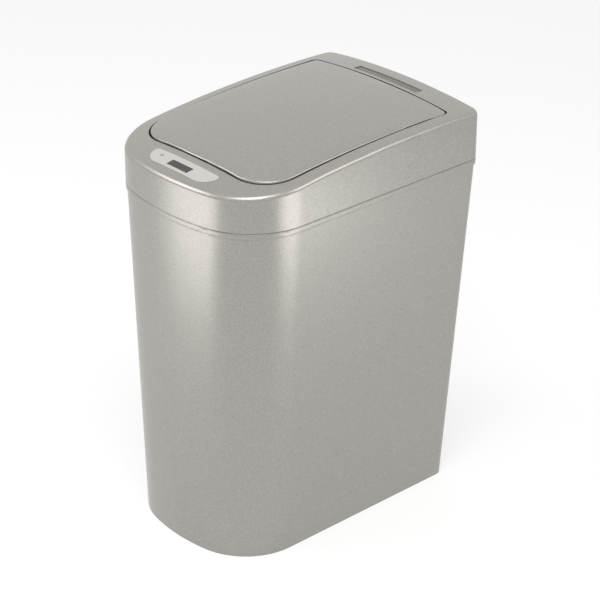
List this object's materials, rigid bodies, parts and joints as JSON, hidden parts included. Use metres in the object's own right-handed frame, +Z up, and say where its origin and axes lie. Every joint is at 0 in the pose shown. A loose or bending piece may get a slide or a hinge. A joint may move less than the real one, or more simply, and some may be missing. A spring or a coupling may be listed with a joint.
{
  "type": "sensor waste bin",
  "caption": "Small freestanding waste bin with a tapered bowed bucket, a lift-off crowned head and a front sensor whose geared lid swings up from its rear edge.",
  "frame": {"origin": "on the floor, under the middle of the bin's bounding box", "axes": "+Z up, +Y from the sensor at the front to the battery door at the back, +X to the viewer's right from the front"},
  "size_m": [0.17, 0.2422, 0.3255],
  "materials": {
    "silver_plastic": "satin champagne-silver paint on moulded plastic",
    "grey_plastic": "fine matte moulding",
    "black_plastic": "matte moulding",
    "gear_plastic": "unpainted slippery plastic",
    "panel_film": "pale satin face",
    "dark_window": "smoked, polished",
    "lens_plastic": "frosted, translucent",
    "inlay_metal": "satin",
    "board": "lacquered circuit board",
    "soft_pad": "matte",
    "cell_wrap": "shrink sleeve",
    "steel": "plated"
  },
  "bodies": {
    "bucket": {"bucket": "silver_plastic"},
    "head": {"head_cover": "silver_plastic", "lower_frame": "grey_plastic", "lid_buffers": "soft_pad", "control_panel": "panel_film", "sensor_window": "dark_window", "status_lens": "lens_plastic", "sensor_board": "board", "infrared_diodes": "dark_window", "status_led": "lens_plastic", "rear_inlay": "inlay_metal", "battery_tray": "black_plastic", "battery_cells": "cell_wrap", "battery_contacts": "steel", "switch_body": "black_plastic", "motor": "steel", "gearbox_case": "gear_plastic", "gearbox_cover": "gear_plastic"},
    "lid": {"lid_panel": "silver_plastic", "lid_liner": "grey_plastic", "lid_gear": "gear_plastic", "drive_shaft": "steel", "hinge_pin": "steel"},
    "pinion": {"drive_pinion": "gear_plastic"},
    "door": {"battery_door": "silver_plastic"},
    "knob": {"switch_knob": "black_plastic"}
  },
  "joints": [
    {"name": "head_lift", "type": "slide", "parent": "bucket", "child": "head", "axis": [0, 0, 1], "range_m": [0, 0.15]},
    {"name": "lid_hinge", "type": "hinge", "parent": "head", "child": "lid", "pos_m": [0, 0.08056, 0.313], "axis": [-1, 0, 0], "range_deg": [0, 78]},
    {"name": "pinion_spin", "type": "hinge", "parent": "head", "child": "pinion", "pos_m": [0.0795, 0.08456, 0.29035], "axis": [-1, 0, 0], "range_deg": [-222, 0]},
    {"name": "battery_door_tilt", "type": "hinge", "parent": "head", "child": "door", "pos_m": [0, 0.1211, 0.2842], "axis": [-1, 0, 0], "range_deg": [0, 70]},
    {"name": "power_switch", "type": "slide", "parent": "head", "child": "knob", "axis": [0, 0, 1], "range_m": [0, 0.0036]}
  ],
  "couplings": [
    {"joint": "pinion_spin", "follows": "lid_hinge", "ratio": -2.8333}
  ]
}
